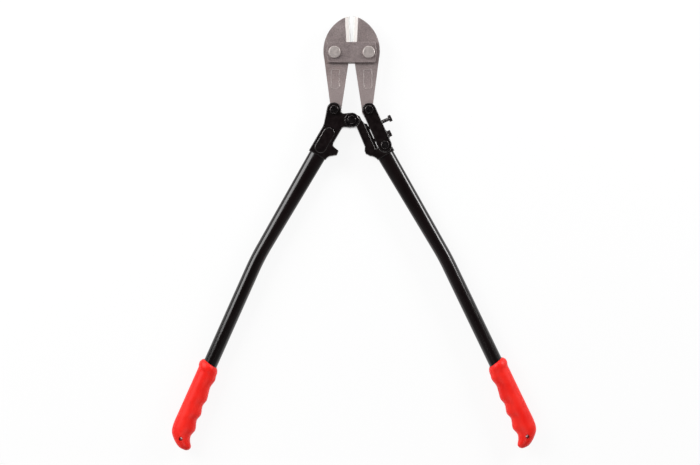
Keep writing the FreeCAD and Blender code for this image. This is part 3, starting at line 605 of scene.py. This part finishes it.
def hang_hole_cutter():
    """Round cutter that opens out where it leaves the grip, as a moulded hole does."""
    opening = [(16.0, HANG_HOLE_RADIUS), (17.2, 4.7), (18.2, 5.6), (HOLE_REACH, 6.2)]
    profile = [(-height, radius) for height, radius in reversed(opening)] + opening
    rings = []
    for height, radius in profile:
        ring = []
        for k in range(HOLE_SIDES):
            angle = 2 * math.pi * k / HOLE_SIDES
            ring.append(Vector((radius * math.cos(angle) - HANG_HOLE_INWARD, height,
                                radius * math.sin(angle) + HANG_HOLE_DISTANCE)))
        rings.append(ring)
    shape = bmesh.new()
    first_end = Vector((-HANG_HOLE_INWARD, -HOLE_REACH, HANG_HOLE_DISTANCE))
    last_end = Vector((-HANG_HOLE_INWARD, HOLE_REACH, HANG_HOLE_DISTANCE))
    loft(shape, rings, first_end, last_end)
    return shape


def moulded_grip(name, bend, side, node, body):
    """Grip in one moulding: rolled mouth, collar, finger waves, parting line and hang hole."""
    turns = grip_turns()
    rings = [bore_ring(TUBE_RADIUS + 0.15, TUBE_IN_GRIP, 0.0, turns)]
    for station in (120.0, 80.0, 40.0):
        rings.append(bore_ring(TUBE_RADIUS + BORE_ROOM, station, 0.0, turns))
    for station in (12.0, 4.0):
        rings.append(bore_ring(TUBE_RADIUS + BORE_ROOM, station, MOUTH_SLANT, turns))
    rings.append(bore_ring(TUBE_RADIUS + 0.25, 2.4, MOUTH_SLANT, turns))
    rings.append(bore_ring(TUBE_RADIUS + 0.6, 1.9, MOUTH_SLANT, turns))
    stations = [2.0 + MOUTH_STEP * k for k in range(30)]
    stations += [stations[-1] + BODY_STEP * (k + 1) for k in range(88)]
    stations = [s for s in stations if s < HOOK_START]
    stations += [HOOK_START + HOOK_STEP * k for k in range(13)]
    stations += [179.4, 180.0, 180.5, 180.8, 180.95]
    for station in stations:
        rings.append(grip_ring(along_table(GRIP_ROWS, station), station, turns))
    shape = bmesh.new()
    loft(shape, rings, Vector((0, 0, TUBE_IN_GRIP)), GRIP_END)
    piece = new_piece(name, shape, FINISHES["red"], GRIP_CREASE)
    cutter = new_piece(name + "_cutter", hang_hole_cutter(), FINISHES["red"], GRIP_CREASE)
    cut_away(piece, cutter)
    piece.data.transform(grip_frame(bend, side))
    if side < 0:
        piece.data.flip_normals()
    piece.data.set_sharp_from_angle(angle=math.radians(GRIP_CREASE))
    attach(piece, body)
    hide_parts(node)
    return piece


moulded_grip("left_grip_moulded", LEFT_BEND, -1, "left_grip", "left_handle")
moulded_grip("right_grip_moulded", RIGHT_BEND, 1, "right_grip", "right_handle")


# ---------------------------------------------------------------- tubes
def tube_rings(bend, wall):
    """Sections of one tube from its flattened top, round the bend, to its end in the grip."""
    outward = spin(Vector((1, 0, 0)), HANDLE_ANGLE)
    along = spin(Vector((1, 0, 0)), HANDLE_ANGLE - 90)
    tangent = BEND_RADIUS * math.tan(math.radians(bend / 2))
    bend_start = BEND_DISTANCE - tangent
    places = []
    for k in range(TUBE_STEPS + 1):
        share = k / TUBE_STEPS
        middle = along * (TUBE_START + (bend_start - TUBE_START) * share)
        half_width = TUBE_WIDTH / 2 + (TUBE_RADIUS - TUBE_WIDTH / 2) * share
        half_thick = TUBE_FLAT / 2 + (TUBE_RADIUS - TUBE_FLAT / 2) * share
        places.append((middle + outward * HANDLE_OFFSET, outward, half_width, half_thick))
    pivot = along * bend_start + outward * (HANDLE_OFFSET - BEND_RADIUS)
    for k in range(1, BEND_STEPS + 1):
        side = spin(outward, -bend * k / BEND_STEPS)
        places.append((pivot + side * BEND_RADIUS, side, TUBE_RADIUS, TUBE_RADIUS))
    low_along = spin(along, -bend)
    low_outward = spin(outward, -bend)
    corner = along * BEND_DISTANCE + outward * HANDLE_OFFSET
    end = GRIP_DISTANCE + TUBE_IN_GRIP - TUBE_END_ROOM
    for k in range(1, TUBE_STEPS + 1):
        middle = corner + low_along * (tangent + (end - tangent) * k / TUBE_STEPS)
        places.append((middle, low_outward, TUBE_RADIUS, TUBE_RADIUS))
    rings = []
    for middle, side, half_width, half_thick in places:
        ring = []
        for k in range(TUBE_SIDES):
            angle = 2 * math.pi * k / TUBE_SIDES
            point = middle + side * ((half_width - wall) * math.cos(angle))
            point.z = (half_thick - wall) * math.sin(angle)
            ring.append(point)
        rings.append(ring)
    return rings


def drawn_tube(name, bend, side, node, body):
    """Hollow steel tube, flattened where it takes the head and bent above the grip."""
    shape = bmesh.new()
    outside = loft(shape, tube_rings(bend, 0.0), None, None)
    inside = loft(shape, tube_rings(bend, TUBE_WALL), None, None)
    for outer, inner in ((outside[0], inside[0]), (outside[-1], inside[-1])):
        for k in range(TUBE_SIDES):
            following = (k + 1) % TUBE_SIDES
            shape.faces.new((outer[k], outer[following], inner[following], inner[k]))
    place = Matrix.Translation(CENTRE) @ Matrix.Scale(MM, 4) @ Matrix.Diagonal((side, 1, 1, 1))
    shape.transform(place)
    piece = new_piece(name, shape, FINISHES["enamel"], TUBE_CREASE)
    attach(piece, body)
    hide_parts(node)
    return piece


drawn_tube("left_tube_drawn", LEFT_BEND, -1, "left_tube", "left_handle")
drawn_tube("right_tube_drawn", RIGHT_BEND, 1, "right_tube", "right_handle")


# ---------------------------------------------------------------- threaded screws
SCREW_CREASE = 32           # degrees
THREAD_DEPTH = 0.62
THREAD_ROOM = 0.04          # how far the crest keeps inside the CAD screw
RUN_OUT = 1.2               # length over which the thread fades under the head
POINT_RADIUS = SCREW_RADIUS - 0.9
ROWS_PER_TURN = 10
THREAD_SIDES = 36
HEAD_SIDES = 72


def thread_height(turn, along):
    """Height of a 60 degree thread above its root, from 0 to 1."""
    phase = (along / SCREW_PITCH - turn) % 1.0
    flank = abs(phase - 0.5) * 2
    return min(max((flank - 0.14) / 0.70, 0.0), 1.0)


def hexagon_radius(angle, flats):
    """Distance from the middle of a hexagon to its side, in a direction."""
    sector = (angle + math.pi / 6) % (math.pi / 3) - math.pi / 6
    return flats / 2 / math.cos(sector)


def threaded_screw(name, place, node, body):
    """Hexagon screw with a cut thread.  Its own Z points out of the head."""
    length = place["seat"] - place["tip"]
    shape = bmesh.new()
    rings = []
    count = int(length / SCREW_PITCH * ROWS_PER_TURN)
    for row in range(count + 1):
        along = -length + length * row / count
        from_tip = along + length
        from_head = -along
        ring = []
        for k in range(THREAD_SIDES):
            turn = k / THREAD_SIDES
            cut = 1 - thread_height(turn, along)
            cut *= min(1.0, from_head / RUN_OUT)
            radius = SCREW_RADIUS - THREAD_ROOM - THREAD_DEPTH * cut
            radius = min(radius, POINT_RADIUS + 0.8 * from_tip)
            angle = 2 * math.pi * turn
            ring.append(Vector((radius * math.cos(angle), radius * math.sin(angle), along)))
        rings.append(ring)
    loft(shape, rings, Vector((0, 0, -length)), Vector((0, 0, 0)))
    crown = SCREW_FLATS / 2 * 0.95
    rings = []
    for level in range(5):
        ring = []
        for k in range(HEAD_SIDES):
            angle = 2 * math.pi * k / HEAD_SIDES
            corner = hexagon_radius(angle, SCREW_FLATS)
            shoulder = SCREW_HEAD_HEIGHT - max(0.0, corner - crown) * math.tan(math.radians(30))
            radius, height = (
                (crown, 0.0),
                (corner, 0.35),
                (corner, shoulder),
                (crown, SCREW_HEAD_HEIGHT),
                (crown * 0.9, SCREW_HEAD_HEIGHT - 0.12))[level]
            ring.append(Vector((radius * math.cos(angle), radius * math.sin(angle), height)))
        rings.append(ring)
    loft(shape, rings, Vector((0, 0, 0)), Vector((0, 0, SCREW_HEAD_HEIGHT - 0.2)))
    piece = new_piece(name, shape, FINISHES["oxide"], SCREW_CREASE)
    origin = ARM_PIVOT + (ARM_UP * place["reach"] + SCREW_OUT * place["seat"]) * MM
    origin.z = MIDDLE_Z
    across = SCREW_OUT.cross(ARM_UP)
    rows = Matrix((
        (ARM_UP.x, across.x, SCREW_OUT.x, 0),
        (ARM_UP.y, across.y, SCREW_OUT.y, 0),
        (ARM_UP.z, across.z, SCREW_OUT.z, 0),
        (0, 0, 0, 1)))
    piece.data.transform(Matrix.Translation(origin) @ rows @ Matrix.Scale(MM, 4))
    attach(piece, body)
    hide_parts(node)
    return piece


threaded_screw("adjusting_screw_threaded", ADJUSTING_SCREW, "adjusting_screw", "adjusting_screw")
threaded_screw("lock_screw_threaded", LOCK_SCREW, "lock_screw", "lock_screw")


# ---------------------------------------------------------------- floor
FLOOR_HALF = 25.0
FLOOR_COLOUR = (0.92, 0.92, 0.92)
FLOOR_GLOW_SHARE = 0.9      # how far the floor's white evens out its shading
FLOOR_DROP = 0.2 * MM       # room under the object, so that the two never share a plane
# Painted shade: the floor's white glow is darkened in gaps narrower than about this, beside and
# under the object.
PAINTED_SHADE_REACH = 12 * MM     # the white fades in gaps narrower than about this


def floor_material():
    """White paper: mostly even white to the eye, with the object's shadow left in it and painted
    shade dimming its glow in the nooks beside and under the object.
    """
    graph = Graph("white_paper")
    fibre = graph.noise(900, 3.0, 0.6)
    tone = graph.mix(graph.ramp(graph.noise(0.8, 2.0), 0.3, 0.7), FLOOR_COLOUR,
                     tuple(0.99 * c for c in FLOOR_COLOUR))
    graph.set(
        Base_Color=tone,
        Roughness=0.9,
        Specular_IOR_Level=0.1,
        Normal=graph.bump(fibre, 0.02 * MM, 0.3))
    path = graph.add("ShaderNodeLightPath")
    seen = graph.math("MAXIMUM", path.outputs["Is Camera Ray"], path.outputs["Is Glossy Ray"])
    seen = graph.math("MAXIMUM", seen, path.outputs["Is Transmission Ray"])
    glow = graph.add("ShaderNodeEmission")
    glow.inputs["Color"].default_value = (1, 1, 1, 1)
    # Painted shade: ambient occlusion dims the floor's glow where the object is near, in gaps and
    # beneath it.
    painted_nook_shade = graph.add("ShaderNodeAmbientOcclusion")
    painted_nook_shade.samples = 8
    painted_nook_shade.inputs["Distance"].default_value = PAINTED_SHADE_REACH
    graph.join(graph.ramp(painted_nook_shade.outputs["AO"], 0.4, 0.72), glow.inputs["Strength"])
    both = graph.add("ShaderNodeMixShader")
    graph.join(graph.math("MULTIPLY", seen, FLOOR_GLOW_SHARE), both.inputs["Fac"])
    graph.join(graph.shader.outputs["BSDF"], both.inputs[1])
    graph.join(glow.outputs["Emission"], both.inputs[2])
    output = next(n for n in graph.tree.nodes if n.type == "OUTPUT_MATERIAL")
    graph.join(both.outputs["Shader"], output.inputs["Surface"])
    return graph.material


floor_shape = bmesh.new()
bmesh.ops.create_grid(floor_shape, x_segments=4, y_segments=4, size=FLOOR_HALF)
floor = new_piece("floor", floor_shape, floor_material(), 30)
floor.location = (0, 0, cad_box[0].z - FLOOR_DROP)


# ---------------------------------------------------------------- lights
LAMP_DISTANCE = 2.3
AIM_POINT = Vector((0, 0.12, MIDDLE_Z))
# Name, azimuth from +X, tilt from straight up, short and long side, azimuth of the long side, watts.
LAMPS = [
    ("left_softbox", 150, 56, (1.4, 1.6), 240, 50),
    ("right_softbox", 30, 66, (0.58, 1.05), 120, 34),
    ("front_softbox", 270, 46, (1.2, 1.2), 0, 11),
    ("back_softbox", 90, 46, (1.2, 1.2), 0, 9),
]


def soft_lamp(name, azimuth, tilt, size, along, power):
    """Rectangular lamp that faces the aim point."""
    turn = math.radians(azimuth)
    lean = math.radians(tilt)
    flat = Vector((math.cos(turn), math.sin(turn), 0))
    away = flat * math.sin(lean) + Vector((0, 0, math.cos(lean)))
    data = bpy.data.lights.new(name, "AREA")
    data.shape = "RECTANGLE"
    data.size, data.size_y = size
    data.energy = power
    lamp = bpy.data.objects.new(name, data)
    bpy.context.scene.collection.objects.link(lamp)
    long_side = Vector((math.cos(math.radians(along)), math.sin(math.radians(along)), 0))
    long_side = (long_side - away * long_side.dot(away)).normalized()
    short_side = long_side.cross(away)
    lamp.matrix_world = Matrix((
        (short_side.x, long_side.x, away.x, 0),
        (short_side.y, long_side.y, away.y, 0),
        (short_side.z, long_side.z, away.z, 0),
        (0, 0, 0, 1)))
    lamp.location = AIM_POINT + away * LAMP_DISTANCE
    lamp.visible_camera = False


for row in LAMPS:
    soft_lamp(*row)

WORLD_AT_SIDES = 0.27
WORLD_OVERHEAD = 0.045      # low, so that flat black faces stay black from above

world = bpy.data.worlds.new("studio")
world.use_nodes = True
background = world.node_tree.nodes["Background"]
background.inputs["Color"].default_value = (1, 1, 1, 1)
direction = world.node_tree.nodes.new("ShaderNodeTexCoord")
height_of = world.node_tree.nodes.new("ShaderNodeSeparateXYZ")
world.node_tree.links.new(direction.outputs["Generated"], height_of.inputs["Vector"])
darker_up = world.node_tree.nodes.new("ShaderNodeMapRange")
darker_up.inputs["From Min"].default_value = 0.3
darker_up.inputs["From Max"].default_value = 0.95
darker_up.inputs["To Min"].default_value = WORLD_AT_SIDES
darker_up.inputs["To Max"].default_value = WORLD_OVERHEAD
world.node_tree.links.new(height_of.outputs["Z"], darker_up.inputs["Value"])
world.node_tree.links.new(darker_up.outputs["Result"], background.inputs["Strength"])
bpy.context.scene.world = world

# ---------------------------------------------------------------- camera
CAMERA_HEIGHT = 3.0
SENSOR_WIDTH = 36.0         # millimetres
VIEW_WIDTH = 1.4            # width of the picture at the tool's middle plane
VIEW_MIDDLE = Vector((-3.2, -224.2, 0)) * MM + CENTRE

camera_data = bpy.data.cameras.new("camera")
camera_data.sensor_width = SENSOR_WIDTH
camera_data.lens = SENSOR_WIDTH * CAMERA_HEIGHT / VIEW_WIDTH
camera = bpy.data.objects.new("camera", camera_data)
bpy.context.scene.collection.objects.link(camera)
camera.location = VIEW_MIDDLE + Vector((0, 0, CAMERA_HEIGHT))
bpy.context.scene.camera = camera

bpy.context.scene.view_settings.view_transform = "Standard"

bpy.context.view_layer.update()
